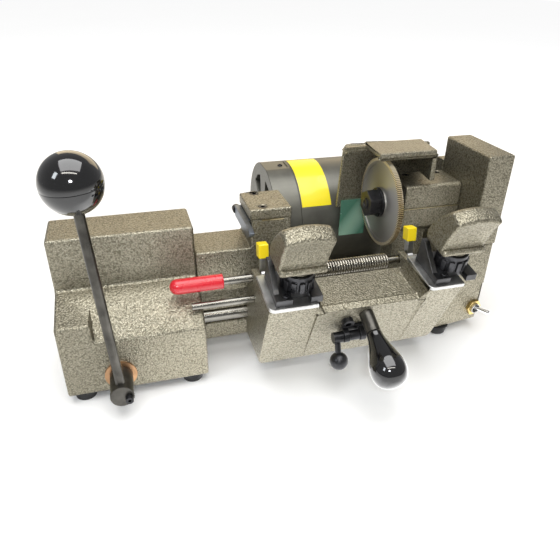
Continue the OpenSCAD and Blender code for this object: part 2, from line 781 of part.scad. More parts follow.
// Fixed jaw block and cheek of each vise
module vise_cheeks() {
  color("Silver") placed() for (i = [0, 1]) vise_frame(i) difference() {
    union() {
      block([6.5, 3, 0], [50, 45, 7]);
      translate([6.5, 0, 0]) rotate(rot_x) linear_extrude(5.5) polygon([[3, 0], [38, 26], [44, 26], [44, 0]]);
    }
    block([22, 2, -1], [39, 12, 8]);
    translate([stud_x, stud_u, -1]) cylinder(d = stud_d, h = 9);
  }
}

module vise_studs() {
  color("Silver") placed() for (i = [0, 1]) vise_frame(i)
    translate([stud_x, stud_u, -10]) cylinder(d = stud_d, h = 70);
}

// Four-way jaw with lugs round its rim
module jaw(i) {
  color("DarkSlateGray") placed() vise_frame(i) translate([stud_x, stud_u, 7 + gap]) difference() {
    union() {
      cylinder(r = 13.5, h = 16.5);
      translate([0, 0, 12.5]) cylinder(r = 14.5, h = 4);
      for (k = [0:11]) rotate([0, 0, k * 30]) translate([11, -2.4, 0]) cube([4.8, 4.8, 11]);
    }
    translate([0, 0, -1]) cylinder(d = stud_d + 2 * run, h = 20);
  }
}

module jaw_left() {
  jaw(0);
}

module jaw_right() {
  jaw(1);
}

// Wing knob with a collar that bears on the jaw
module wing_knob(i) {
  color("DarkKhaki") placed() vise_frame(i) difference() {
    union() {
      translate([stud_x - wing_w / 2, 0, 0]) rotate(rot_x) linear_extrude(wing_w)
        polygon([[8, wing_n], [12, 34], [-1, 72], [16, 77], [44, 37], [42, wing_n]]);
      translate([stud_x, stud_u, 24.2]) cylinder(d = 24, h = 5);
    }
    translate([stud_x, stud_u, 20]) cylinder(d = stud_d + 2 * run, h = 41);
  }
}

module wing_knob_left() {
  wing_knob(0);
}

module wing_knob_right() {
  wing_knob(1);
}

module stop_rod() {
  color("Silver") placed() bar_x(car_x0 - 60.6, car_x0 + 6.5, 10, 86.4, 7.2);
}

module handle_ferrule() {
  color("Silver") placed() apron_frame(handle_x, 28.3) {
    cylinder(d = 14, h = 22);
    translate([0, 0, -7.5]) cylinder(d = 8, h = 40);
  }
}

module handle_bulb() {
  color("Black") placed() apron_frame(handle_x, 28.3) difference() {
    rotate_extrude() polygon([[0, 22], [7.2, 22], [7.6, 25], [9, 33], [12, 43], [15.2, 52], [16.8, 61],
      [16, 68], [12.6, 74], [6.5, 77.5], [0, 78]]);
    translate([0, 0, 21]) cylinder(d = 8, h = 11.5);
  }
}

module latch_bracket() {
  color("DarkKhaki") placed() difference() {
    union() {
      apron_frame(latch_x + 10, latch_d) translate([0, -8, 0]) cube([23, 16, 3]);
      for (x = [latch_x + 10, latch_x + 27]) apron_frame(x, latch_d) {
        translate([0, -6, 1]) cube([6, 12, latch_h - 1]);
        translate([0, 0, latch_h]) rotate([0, 90, 0]) cylinder(d = 12, h = 6);
      }
    }
    apron_frame(latch_x + 9, latch_d) translate([0, 0, latch_h]) rotate([0, 90, 0])
      cylinder(d = 6 + 2 * run, h = 25);
  }
}

// Pin, cam, arm and ball in one
module latch_lever() {
  color("Silver") placed() apron_frame(0, latch_d) {
    translate([latch_x, 0, latch_h]) rotate([0, 90, 0]) cylinder(d = 6, h = 34);
    translate([latch_x, 0, latch_h]) rotate([0, 90, 0]) cylinder(d = 11, h = 9.5);
    translate([latch_x + 16.5, 0, latch_h]) rotate([0, 90, 0]) cylinder(d = 10, h = 10);
    translate([latch_x + 4.4, 0, latch_h]) rotate([44.3, 0, 0]) cylinder(d = 6, h = 18);
    translate([latch_x + 4.4, -16.6, latch_h + 17]) sphere(d = 18);
  }
}

module latch_screw() {
  color("Black") placed() apron_frame(latch_x + 14, 37) {
    difference() {
      cylinder(d = 12, h = 5);
      translate([0, 0, 2]) cylinder(d = 6.5, h = 4, $fn = 6);
    }
    translate([0, 0, -7.5]) cylinder(d = 6, h = 8);
  }
}

module gauge_rod() {
  color("Silver") placed() bar_x(car_x0 - 74.5, car_x1 + 7.5, gau_y, gau_z, gau_d);
}

module gauge_grip() {
  color("FireBrick") placed() difference() {
    bar_x(car_x0 - 79.5, car_x0 - 28.5, gau_y, gau_z, 15);
    bar_x(car_x0 - 74.5, car_x0 - 27, gau_y, gau_z, gau_d);
  }
}

module finger_frame(x) {
  translate([x, gau_y, gau_z]) rotate([-7.4, 0, 0]) children();
}

module gauge_fingers() {
  color("Silver") placed() for (x = finger_x) finger_frame(x) difference() {
    union() {
      rotate([0, 90, 0]) cylinder(d = 15, h = 6);
      translate([0, -4, 0]) cube([6, 8, 22]);
    }
    translate([-1, 0, 0]) rotate([0, 90, 0]) cylinder(d = gau_d, h = 8);
  }
}

module gauge_tips() {
  color("Yellow") placed() for (x = finger_x) finger_frame(x) difference() {
    translate([-2, -5.5, 20]) cube([10, 11, 14]);
    translate([0, -4, 19]) cube([6, 8, 3]);
  }
}

// Close wound torsion spring that holds the fingers back
module gauge_spring() {
  color("DimGray") placed() for (k = [0:coils - 1]) translate([car_in_l + 15.5 + k * coil_p, gau_y, gau_z])
    rotate([0, 90, 0]) rotate_extrude() translate([8 - wire_d / 2, 0]) circle(d = wire_d, $fn = 16);
}

left_housing();
rail_bed();
right_base();
motor_shelf();
rubber_feet();
base_screws();
guide_cap();
cap_screws();
tracer_blade();
tracer_adjust_screw();
spindle_cap();
spindle_bearings();
belt_housing();
belt_housing_screws();
rear_belt_guard();
cutter_guard();
chip_shield();
motor_barrel();
motor_end_bell_left();
motor_end_bell_right();
motor_label();
drive_belt();
cord_bushing();
switch_body();
switch_nut();
bushings();
spindle_shaft();
cutter_wheel();
cutter_collar();
cutter_nut();
spindle_pulley();
motor_shaft();
motor_pulley();
lever_hub();
lever_rod();
lever_ball();
lever_set_screw();
lever_pinion();
main_shaft();
shaft_collars();
carriage();
vise_plates();
vise_cheeks();
vise_studs();
stop_rod();
handle_ferrule();
handle_bulb();
latch_bracket();
latch_screw();
jaw_left();
jaw_right();
wing_knob_left();
wing_knob_right();
gauge_rod();
gauge_grip();
gauge_fingers();
gauge_tips();
gauge_spring();
latch_lever();
switch_bat();
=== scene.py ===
import math
import bpy
import bmesh
from mathutils import Matrix, Vector


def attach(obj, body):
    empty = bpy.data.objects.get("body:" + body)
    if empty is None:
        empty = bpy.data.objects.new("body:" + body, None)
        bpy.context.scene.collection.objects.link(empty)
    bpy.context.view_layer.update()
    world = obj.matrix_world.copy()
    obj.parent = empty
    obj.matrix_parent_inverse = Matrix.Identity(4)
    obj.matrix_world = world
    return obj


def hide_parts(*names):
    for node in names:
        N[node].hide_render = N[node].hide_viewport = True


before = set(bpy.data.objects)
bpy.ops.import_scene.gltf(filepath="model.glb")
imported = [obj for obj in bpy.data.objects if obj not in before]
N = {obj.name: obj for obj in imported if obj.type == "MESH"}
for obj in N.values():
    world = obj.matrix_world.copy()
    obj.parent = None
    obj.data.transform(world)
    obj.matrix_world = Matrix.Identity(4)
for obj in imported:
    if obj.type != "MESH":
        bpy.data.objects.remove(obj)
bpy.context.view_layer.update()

# The CAD is drawn from the left front corner of the castings; this is that
# corner's offset in the row frame, in metres.
OX, OY = 0.2311, 0.0818

# Sizes that several pieces share, in millimetres and in the corner's frame
LEVER_AT = (51, -25, 28)        # where the lever's rod leaves its hub's axis
LEVER_LEAN = math.radians(3.07)
BALL_OUT, BALL_R = 201.6, 23.75  # ball's centre along the rod, and its radius
CUTTER_AT = (344, 75, 147)      # centre of the cutter wheel
NOSE_X = 326                    # left end of the spindle
TEETH = 150
TOOTH_ROOT = (0.0440, 0.0448)   # radii in metres between which the face turns into the teeth
GAUGE_Y, GAUGE_Z = 17.5, 106    # axis of the gauge rod
SEAT_Y, SEAT_Z = -49.2, 108.9   # front edge of the vise plates
SEAT = math.radians(10.2)       # slope of the plates
VISE_X, VISE_PITCH = 184.5, 157  # left edge of the left vise, and the step to the right one
STUD_X, STUD_U, STUD_R = 31.5, 24, 5.05  # stud's bore across and back along the plate
APRON = Vector((0, -0.90808, -0.4188))   # out of the apron
APRON_DOWN = Vector((0, 0.4188, -0.90808))


def P(x, y, z):
    """Corner frame in millimetres to the row frame in metres."""
    return Vector((x / 1000 - OX, y / 1000 - OY, z / 1000))


# ------------------------------------------------------------------ materials
class Mat:
    """A Principled material with a few helpers for procedural detail."""

    def __init__(self, name, color=(0.5, 0.5, 0.5), metallic=0.0, rough=0.5, **sockets):
        self.m = bpy.data.materials.new(name)
        self.m.use_nodes = True
        self.nt = self.m.node_tree
        self.b = self.nt.nodes["Principled BSDF"]
        self.b.inputs["Base Color"].default_value = (*color, 1)
        self.b.inputs["Metallic"].default_value = metallic
        self.b.inputs["Roughness"].default_value = rough
        for key, value in sockets.items():
            self.b.inputs[key.replace("_", " ")].default_value = value
        tc = self.nt.nodes.new("ShaderNodeTexCoord")
        self.co = tc.outputs["Object"]

    def node(self, kind, **props):
        n = self.nt.nodes.new(kind)
        for key, value in props.items():
            setattr(n, key, value)
        return n

    def link(self, a, b):
        self.nt.links.new(a, b)

    def mapped(self, scale=(1, 1, 1), loc=(0, 0, 0)):
        mp = self.node("ShaderNodeMapping")
        mp.inputs["Scale"].default_value = scale
        mp.inputs["Location"].default_value = loc
        self.link(self.co, mp.inputs["Vector"])
        return mp.outputs["Vector"]

    def noise(self, scale, detail=3.0, rough=0.55, vec=None):
        n = self.node("ShaderNodeTexNoise")
        n.inputs["Scale"].default_value = scale
        n.inputs["Detail"].default_value = detail
        n.inputs["Roughness"].default_value = rough
        self.link(vec if vec is not None else self.co, n.inputs["Vector"])
        return n.outputs["Fac"]

    def cells(self, scale, vec):
        n = self.node("ShaderNodeTexVoronoi", feature="SMOOTH_F1")
        n.inputs["Scale"].default_value = scale
        self.link(vec, n.inputs["Vector"])
        return n.outputs["Distance"]

    def ramp(self, fac, stops):
        n = self.node("ShaderNodeValToRGB")
        el = n.color_ramp.elements
        while len(el) < len(stops):
            el.new(0.5)
        for e, (pos, col) in zip(el, stops):
            e.position = pos
            e.color = (*col, 1)
        self.link(fac, n.inputs["Fac"])
        return n.outputs["Color"]

    def range(self, fac, a, b, c, d):
        n = self.node("ShaderNodeMapRange")
        for key, value in zip(("From Min", "From Max", "To Min", "To Max"), (a, b, c, d)):
            n.inputs[key].default_value = value
        self.link(fac, n.inputs["Value"])
        return n.outputs["Result"]

    def math(self, op, a, b=0.0):
        n = self.node("ShaderNodeMath", operation=op)
        for i, v in enumerate((a, b)):
            if isinstance(v, (int, float)):
                n.inputs[i].default_value = v
            else:
                self.link(v, n.inputs[i])
        return n.outputs["Value"]

    def mix(self, fac, a, b, blend="MIX"):
        n = self.node("ShaderNodeMix", data_type="RGBA", blend_type=blend)
        for key, v in ((0, fac), (6, a), (7, b)):
            if isinstance(v, (int, float)):
                n.inputs[key].default_value = v
            elif isinstance(v, tuple):
                n.inputs[key].default_value = (*v, 1)
            else:
                self.link(v, n.inputs[key])
        return n.outputs[2]

    def split(self, vec=None):
        """Sockets X, Y and Z of a position."""
        n = self.node("ShaderNodeSeparateXYZ")
        self.link(vec if vec is not None else self.co, n.inputs[0])
        return n.outputs

    def vector(self, op, vec, by=None):
        """Vector maths with a constant as second input."""
        n = self.node("ShaderNodeVectorMath", operation=op)
        self.link(vec, n.inputs[0])
        if by is not None:
            n.inputs[1].default_value = by
        return n

    def color(self, out):
        self.link(out, self.b.inputs["Base Color"])

    def rough(self, out):
        self.link(out, self.b.inputs["Roughness"])

    def bump(self, height, dist, strength):
        n = self.node("ShaderNodeBump")
        n.inputs["Distance"].default_value = dist
        n.inputs["Strength"].default_value = strength
        self.link(height, n.inputs["Height"])
        self.link(n.outputs["Normal"], self.b.inputs["Normal"])


def hammertone(name, dark, mid, light):
    """Hammered enamel: shallow wormy pebbles with darker paint settled between them."""
    pebbles, bend, bend_by, depth = 700, 340, 0.002, 0.0006
    m = Mat(name, mid, 0.85, 0.34)
    warp = m.node("ShaderNodeTexNoise")
    warp.inputs["Scale"].default_value = bend
    warp.inputs["Detail"].default_value = 1.0
    m.link(m.co, warp.inputs["Vector"])
    bent = m.vector("MULTIPLY_ADD", warp.outputs["Color"], (bend_by, bend_by, bend_by))
    m.link(m.co, bent.inputs[2])
    cells = m.cells(pebbles, bent.outputs[0])
    big = m.noise(14, 2)
    fine = m.noise(1500, 2)
    h = m.math("ADD", m.range(cells, 0.0, 0.8, 1.0, 0.0), m.math("MULTIPLY", fine, 0.18))
    tone = m.math("ADD", h, m.math("MULTIPLY", big, 0.30))
    m.color(m.ramp(tone, [(0.42, dark), (0.72, mid), (1.0, light)]))
    m.rough(m.range(h, 0.2, 1.1, 0.46, 0.26))
    m.bump(h, depth, 0.9)
    return m.m


def metal(name, color, rough=0.3, axis=0, streak=1.0, tint=0.12, metallic=1.0):
    """Machined metal with fine lay along one axis and faint handling marks."""
    m = Mat(name, color, metallic, rough)
    sc = [900, 900, 900]
    sc[axis] = 30
    lay = m.noise(1.0, 3, 0.6, m.mapped(tuple(sc)))
    smear = m.noise(60, 4)
    dark = tuple(c * (1 - tint * 2) for c in color)
    light = tuple(min(1.0, c * (1 + tint)) for c in color)
    m.color(m.mix(m.range(smear, 0.3, 0.7, 0, 1), dark, light))
    m.rough(m.math("ADD", m.range(lay, 0.3, 0.7, rough - 0.07, rough + 0.07),
                   m.range(smear, 0.3, 0.7, -0.04, 0.05)))
    m.bump(lay, 0.00006 * streak, 0.5)
    return m.m


def gloss(name, color, rough=0.12, coat=0.5, peel=0.00002):
    """Moulded or enamelled gloss with orange peel, dust and rubbed patches."""
    m = Mat(name, color, 0.0, rough, Coat_Weight=coat, Coat_Roughness=0.06)
    smear = m.noise(45, 4)
    dust = m.noise(1500, 2)
    pale = tuple(min(1.0, c * 1.35 + 0.012) for c in color)
    m.color(m.mix(m.range(dust, 0.62, 0.75, 0, 0.6), color, pale))
    m.rough(m.range(smear, 0.3, 0.75, rough * 0.7, rough * 1.9))
    m.bump(m.noise(420, 2), peel, 0.6)
    return m.m


HAMMER = hammertone("hammertone", (0.172, 0.157, 0.115), (0.278, 0.256, 0.192), (0.385, 0.358, 0.28))
STEEL = metal("machined_steel", (0.50, 0.50, 0.49), 0.32, 0)
STEEL_Y = metal("milled_plate", (0.56, 0.56, 0.55), 0.34, 1, 1.4)
CHEEK = metal("vise_steel", (0.105, 0.105, 0.108), 0.36, 1, 1.2, 0.2)
SHAFT = metal("ground_shaft", (0.24, 0.23, 0.205), 0.24, 0)
DARK = metal("black_oxide", (0.045, 0.045, 0.048), 0.34, 0, 1.0, 0.25, 0.85)
DARK_Z = metal("satin_rod", (0.095, 0.090, 0.080), 0.34, 2, 1.0, 0.25, 0.9)
JAW = metal("jaw_steel", (0.085, 0.085, 0.09), 0.33, 1, 1.0, 0.25, 0.9)
SPRING = metal("spring_steel", (0.46, 0.43, 0.37), 0.26, 1, 1.0, 0.2, 1.0)
BLADE = metal("blade_steel", (0.17, 0.19, 0.22), 0.36, 1, 1.0, 0.2, 0.9)
BRASS = metal("brass", (0.74, 0.55, 0.22), 0.28, 0)
BRONZE = metal("oiled_bronze", (0.56, 0.33, 0.18), 0.36, 0, 1.4, 0.2)
CHROME = metal("plated_bat", (0.82, 0.82, 0.82), 0.12, 1, 0.5, 0.05)
BALL = gloss("phenolic_black", (0.0035, 0.0035, 0.004), 0.07, 0.9)
MOTOR = metal("motor_enamel", (0.150, 0.147, 0.126), 0.40, 0, 0.2, 0.08, 0.7)
RED = gloss("red_dip", (0.60, 0.010, 0.022), 0.24, 0.5, 0.00006)
YELLOW = gloss("yellow_plastic", (0.88, 0.66, 0.010), 0.3, 0.2, 0.00003)
LABEL = gloss("label_film", (0.86, 0.70, 0.010), 0.3, 0.3, 0.00001)
RUBBER = gloss("rubber", (0.012, 0.012, 0.012), 0.6, 0.0, 0.00006)


def cutter_material():
    """Ground disc with a turned lay and two painted highlights fanning across its face; the teeth are
    painted pale gold as highlight, with painted shade in the gaps between them.
    """
    m = Mat("cutter_steel", (0.40, 0.39, 0.36), 0.9, 0.42)
    vec = m.mapped(loc=-P(*CUTTER_AT))
    parts = m.split(vec)
    flat = m.vector("MULTIPLY", vec, (0, 1, 1))
    r = m.vector("LENGTH", flat.outputs[0]).outputs["Value"]
    angle = m.math("ARCTAN2", parts["Z"], parts["Y"])
    # two broad painted highlights round the face, lighter where the sine peaks
    painted_highlight_fan = m.math("SINE", m.math("ADD", m.math("MULTIPLY", angle, 2.0), 2.2))
    wave = m.math("SINE", m.math("MULTIPLY", r, 9000.0))
    face = m.mix(m.range(painted_highlight_fan, -1, 1, 0, 1), (0.26, 0.25, 0.23), (0.58, 0.565, 0.54))
    # teeth: pale gold painted highlight on each tooth, painted shade in the gaps between them
    tooth = m.math("SINE", m.math("MULTIPLY", angle, float(TEETH)))
    painted_lit_teeth_shaded_gaps = m.mix(m.range(tooth, -0.5, 0.4, 0, 1), (0.20, 0.15, 0.09), (0.92, 0.82, 0.60))
    m.color(m.mix(m.range(r, *TOOTH_ROOT, 0, 1), face, painted_lit_teeth_shaded_gaps))
    m.rough(m.range(wave, -1, 1, 0.38, 0.48))
    m.bump(wave, 0.00002, 0.4)
    return m.m


CUTTER = cutter_material()


def green_material():
    """Green sheet with a paler painted sheen across it on the diagonal."""
    m = Mat("green_guard", (0.20, 0.46, 0.33), 0.0, 0.22, Transmission_Weight=0.45)
    parts = m.split()
    across = m.math("ADD", m.math("MULTIPLY", parts["X"], 55.0), m.math("MULTIPLY", parts["Z"], -42.0))
    # paler green stripes on the diagonal: painted sheen
    painted_sheen_band = m.range(m.math("SINE", across), 0.5, 1.0, 0, 1)
    m.color(m.mix(painted_sheen_band, (0.15, 0.38, 0.27), (0.50, 0.80, 0.62)))
    m.rough(m.range(m.noise(60, 3), 0.3, 0.7, 0.14, 0.3))
    m.bump(m.noise(300, 2), 0.00003, 0.5)
    return m.m


GREEN = green_material()

MATERIALS = {
    HAMMER: ["left_housing", "rail_bed", "right_base", "motor_shelf", "guide_cap", "spindle_cap",
             "belt_housing", "rear_belt_guard", "cutter_guard", "carriage", "wing_knob_left",
             "wing_knob_right"],
    STEEL: ["vise_studs", "spindle_bearings", "lever_pinion", "spindle_pulley", "motor_pulley",
            "gauge_fingers", "base_screws", "switch_body"],
    STEEL_Y: ["vise_plates"],
    CHEEK: ["vise_cheeks"],
    JAW: ["jaw_left", "jaw_right"],
    SHAFT: ["main_shaft", "stop_rod", "gauge_rod", "spindle_shaft", "motor_shaft"],
    DARK: ["cap_screws", "latch_bracket", "gauge_spring", "lever_set_screw", "shaft_collars",
           "cutter_nut", "cutter_collar", "latch_screw", "tracer_adjust_screw",
           "belt_housing_screws", "latch_lever"],
    DARK_Z: ["lever_rod", "lever_hub", "handle_ferrule"],
    BLADE: ["tracer_blade"],
    BRASS: ["switch_nut"],
    BRONZE: ["bushings"],
    CHROME: ["switch_bat"],
    BALL: ["lever_ball", "handle_bulb"],
    MOTOR: ["motor_barrel", "motor_end_bell_left", "motor_end_bell_right"],
    RED: ["gauge_grip"],
    YELLOW: ["gauge_tips"],
    LABEL: ["motor_label"],
    RUBBER: ["rubber_feet", "drive_belt", "cord_bushing"],
    CUTTER: ["cutter_wheel"],
    GREEN: ["chip_shield"],
}


def paint(o, material):
    o.data.materials.clear()
    o.data.materials.append(material)


for material, names in MATERIALS.items():
    for n in names:
        paint(N[n], material)


# ------------------------------------------------------- edges of CAD castings
def rounded(o, width, segments, angle):
    """Bevel modifier on the edges sharper than angle."""
    b = o.modifiers.new("edges", "BEVEL")
    b.width = width
    b.segments = segments
    b.limit_method = "ANGLE"
    b.angle_limit = math.radians(angle)
    return b


def smooth_shaded(o):
    for poly in o.data.polygons:
        poly.use_smooth = True
    o.modifiers.new("normals", "WEIGHTED_NORMAL").keep_sharp = True


def soften(o, width):
    """Rounded casting edges on a CAD node, by modifiers only."""
    weld = o.modifiers.new("weld", "WELD")
    weld.merge_threshold = 0.00001
    d = o.modifiers.new("flatten", "DECIMATE")
    d.decimate_type = "DISSOLVE"
    d.angle_limit = math.radians(0.5)
    b = rounded(o, width, 3, 35)
    b.miter_outer = "MITER_ARC"
    b.harden_normals = True
    b.use_clamp_overlap = False
    smooth_shaded(o)


EDGES = {
    "left_housing": 0.0026, "rail_bed": 0.0020, "right_base": 0.0018, "motor_shelf": 0.0016,
    "guide_cap": 0.0018, "spindle_cap": 0.0018, "belt_housing": 0.0022,
    "rear_belt_guard": 0.0015, "cutter_guard": 0.0016, "carriage": 0.0014, "latch_bracket": 0.0006,
    "vise_plates": 0.0005, "vise_cheeks": 0.0005,
    "gauge_tips": 0.0008, "gauge_fingers": 0.0004, "tracer_blade": 0.0004,
    "jaw_left": 0.0005, "jaw_right": 0.0005, "cutter_nut": 0.0005, "motor_end_bell_left": 0.0010,
    "motor_end_bell_right": 0.0010, "switch_nut": 0.0003,
}
for n, w in EDGES.items():
    soften(N[n], w)


# --------------------------------------------------- pieces modelled for looks
def add_mesh(name, verts, faces, material=None, smooth=False):
    me = bpy.data.meshes.new(name)
    me.from_pydata([tuple(v) for v in verts], [], faces)
    o = bpy.data.objects.new(name, me)
    bpy.context.scene.collection.objects.link(o)
    if material:
        me.materials.append(material)
    for poly in me.polygons:
        poly.use_smooth = smooth
    return o


def tidy_faces(o, bevel=0.0, crease_deg=None):
    """Faces turned outwards; bevel breaks all edges, crease_deg marks the sharp ones."""
    bm = bmesh.new()
    bm.from_mesh(o.data)
    bmesh.ops.recalc_face_normals(bm, faces=bm.faces)
    if bevel:
        bmesh.ops.bevel(bm, geom=list(bm.edges), offset=bevel, segments=2, affect="EDGES")
    if crease_deg:
        for e in bm.edges:
            if len(e.link_faces) == 2 and e.calc_face_angle() > math.radians(crease_deg):
                e.smooth = False
    bm.to_mesh(o.data)
    bm.free()


def lathe(name, profile, at, axis, material, steps=64):
    """Turned piece: profile is (distance along axis, radius) in mm, from at along axis."""
    axis = Vector(axis).normalized()
    side = axis.orthogonal().normalized()
    other = axis.cross(side)
    verts, faces = [], []
    rings = []
    for d, r in profile:
        base = Vector(at) + axis * (d / 1000)
        if r < 1e-6:
            rings.append([len(verts)])
            verts.append(base)
            continue
        ring = []
        for k in range(steps):
            t = 2 * math.pi * k / steps
            ring.append(len(verts))
            verts.append(base + (side * math.cos(t) + other * math.sin(t)) * (r / 1000))
        rings.append(ring)
    for a, b in zip(rings, rings[1:]):
        for k in range(steps):
            j = (k + 1) % steps
            if len(a) == 1:
                faces.append((a[0], b[j], b[k]))
            elif len(b) == 1:
                faces.append((a[k], a[j], b[0]))
            else:
                faces.append((a[k], a[j], b[j], b[k]))
    if len(rings[0]) > 1:
        faces.append(tuple(reversed(rings[0])))
    if len(rings[-1]) > 1:
        faces.append(tuple(rings[-1]))
    o = add_mesh(name, verts, faces, material, True)
    tidy_faces(o, crease_deg=40)
    return o


def arc(cx, cr, r, a0, a1, n):
    """Points of an arc in a lathe profile, angles in degrees from the axis direction."""
    out = []
    for k in range(n + 1):
        a = math.radians(a0 + (a1 - a0) * k / n)
        out.append((cx + r * math.cos(a), cr + r * math.sin(a)))
    return out


def smooth_profile(points, n):
    """Catmull-Rom curve through lathe points."""
    pts = [points[0]] + list(points) + [points[-1]]
    out = []
    for i in range(1, len(pts) - 2):
        p0, p1, p2, p3 = pts[i - 1:i + 3]
        for k in range(n):
            t = k / n
            out.append(tuple(0.5 * (2 * b + (c - a) * t + (2 * a - 5 * b + 4 * c - d) * t * t
                                    + (3 * b - a - 3 * c + d) * t ** 3)
                             for a, b, c, d in zip(p0, p1, p2, p3)))
    out.append(points[-1])
    return out


# ball on the lever, with the moulding's parting line
LEVER_DIR = Vector((-math.sin(LEVER_LEAN), 0, math.cos(LEVER_LEAN)))
FLAT = BALL_OUT - BALL_R + 0.35   # foot of the ball on the rod
PART_LINE = 1.2                   # parting line below the middle
ball_profile = [(FLAT, 0.0), (FLAT, 5.2)] + arc(BALL_OUT, 0, BALL_R, 165, 95, 14)
for off, dip in ((-0.45, 0.0), (-0.18, -0.14), (0.18, -0.14), (0.45, 0.0)):
    ball_profile.append((BALL_OUT - PART_LINE + off, BALL_R + dip - 0.03))
ball_profile += arc(BALL_OUT, 0, BALL_R, 85, 5, 16) + [(BALL_OUT + BALL_R, 0.0)]
ball = lathe("ball_knob", ball_profile, P(*LEVER_AT), LEVER_DIR, BALL, 96)
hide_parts("lever_ball")
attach(ball, "lever")

# handle bulb, which comes out of the ferrule square to the apron
HANDLE_AT = P(283.3, SEAT_Y, SEAT_Z) + APRON_DOWN * 0.0283
BULB = [(24, 7.35), (29, 8.1), (36, 10.0), (44, 12.6), (53, 15.6), (61, 16.75), (68, 15.7), (73.5, 12.4),
        (76.6, 7.6)]
bulb = lathe("handle_bulb_turned", [(22.1, 0.0), (22.1, 6.4), (22.8, 7.1)] + smooth_profile(BULB, 6)
             + [(77.6, 3.8), (77.9, 0.0)], HANDLE_AT, APRON, BALL, 72)
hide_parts("handle_bulb")
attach(bulb, "carriage")

# dipped grip on the gauge rod: domed end, soft lip at the open end
GRIP_R = 7.4
grip = lathe("dipped_grip", [(0.0, 0.0)] + arc(GRIP_R, 0, GRIP_R, 168, 90, 13)
             + [(20, 7.45), (40, 7.4), (48.6, 7.35), (49.8, 7.45), (50.6, 7.2), (51, 6.5), (50.9, 4.1)],
             P(105, GAUGE_Y, GAUGE_Z), (1, 0, 0), RED)
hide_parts("gauge_grip")
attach(grip, "gauge")


def helix(name, at, length, turns, radius, wire, material, steps=22):
    """Coil of round wire along X; sizes in mm."""
    cu = bpy.data.curves.new(name, "CURVE")
    cu.dimensions = "3D"
    cu.bevel_depth = wire / 2000
    cu.bevel_resolution = 3
    sp = cu.splines.new("POLY")
    n = int(turns * steps)
    sp.points.add(n)
    for k in range(n + 1):
        t = 2 * math.pi * k / steps
        p = at + Vector((length * k / n, radius * math.cos(t), radius * math.sin(t))) / 1000
        sp.points[k].co = (*p, 1)
    sp.use_smooth = True
    o = bpy.data.objects.new(name, cu)
    bpy.context.scene.collection.objects.link(o)
    cu.materials.append(material)
    return o


spring = helix("gauge_spring_coil", P(247.0, GAUGE_Y, GAUGE_Z), 81.0, 29, 6.75, 2.2, SPRING)
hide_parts("gauge_spring")
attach(spring, "gauge")


def bar(name, lo, hi, material, body, bevel):
    """Straight bar between two corners given in the corner frame, edges broken."""
    a, b = P(*lo), P(*hi)
    verts = [(x, y, z) for x in (a.x, b.x) for y in (a.y, b.y) for z in (a.z, b.z)]
    faces = [(0, 1, 3, 2), (4, 6, 7, 5), (0, 4, 5, 1), (2, 3, 7, 6), (0, 2, 6, 4), (1, 5, 7, 3)]
    o = add_mesh(name, verts, faces, material)
    tidy_faces(o, bevel=bevel)
    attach(o, body)


# Two thin pale gold strips are painted highlights: one along the seam under the spindle cap, one at the
# gap under the guide cap. The roll on the guard wall is plain casting.
GOLD_HIGHLIGHT_PAINT = metal("lit_edge", (0.62, 0.53, 0.33), 0.3, 0)
bar("cap_seam_painted_highlight", (363.3, 55.85, 142.7), (429.7, 56.3, 143.2), GOLD_HIGHLIGHT_PAINT, "base", 0.0001)
bar("guard_roll", (315.5, 117, 188.5), (349, 129.5, 196), HAMMER, "base", 0.003)
bar("guide_gap_painted_highlight", (203, 50.2, 149.3), (226, 55.5, 150.8), GOLD_HIGHLIGHT_PAINT, "base", 0.0002)

# vise details, in the frame of each vise
VN = Vector((0, -math.sin(SEAT), math.cos(SEAT)))


def vise(i, x, u, n):
    """Point of vise i (0 left, 1 right): across, back along the plate, up from it."""
    return P(VISE_X + VISE_PITCH * i + x, SEAT_Y + u * math.cos(SEAT) - n * math.sin(SEAT),
             SEAT_Z + u * math.sin(SEAT) + n * math.cos(SEAT))


# Wing knob in the vise frame (back, up): hollow front, top lower at both ends
KNOB_FOOT = [(42.0, 28.0), (8.0, 28.0), (12.0, 34.0)]
KNOB_BROW = (-1.0, 72.0)         # top of the front
KNOB_TOP = [KNOB_BROW, (4.5, 74.6), (10.5, 76.4), (16.0, 77.0)]
# back, up and the share of the ends' drop that the point follows
KNOB_BACK = [(24.5, 68.0, 0.7), (32.0, 58.8, 0.4), (39.0, 47.6, 0.0), (44.0, 37.0, 0.0)]
KNOB_W, KNOB_SAG, KNOB_ARCH = 45.0, 1.8, 3.6
BORE_TOP = 60.3
LIP_R = 3.3


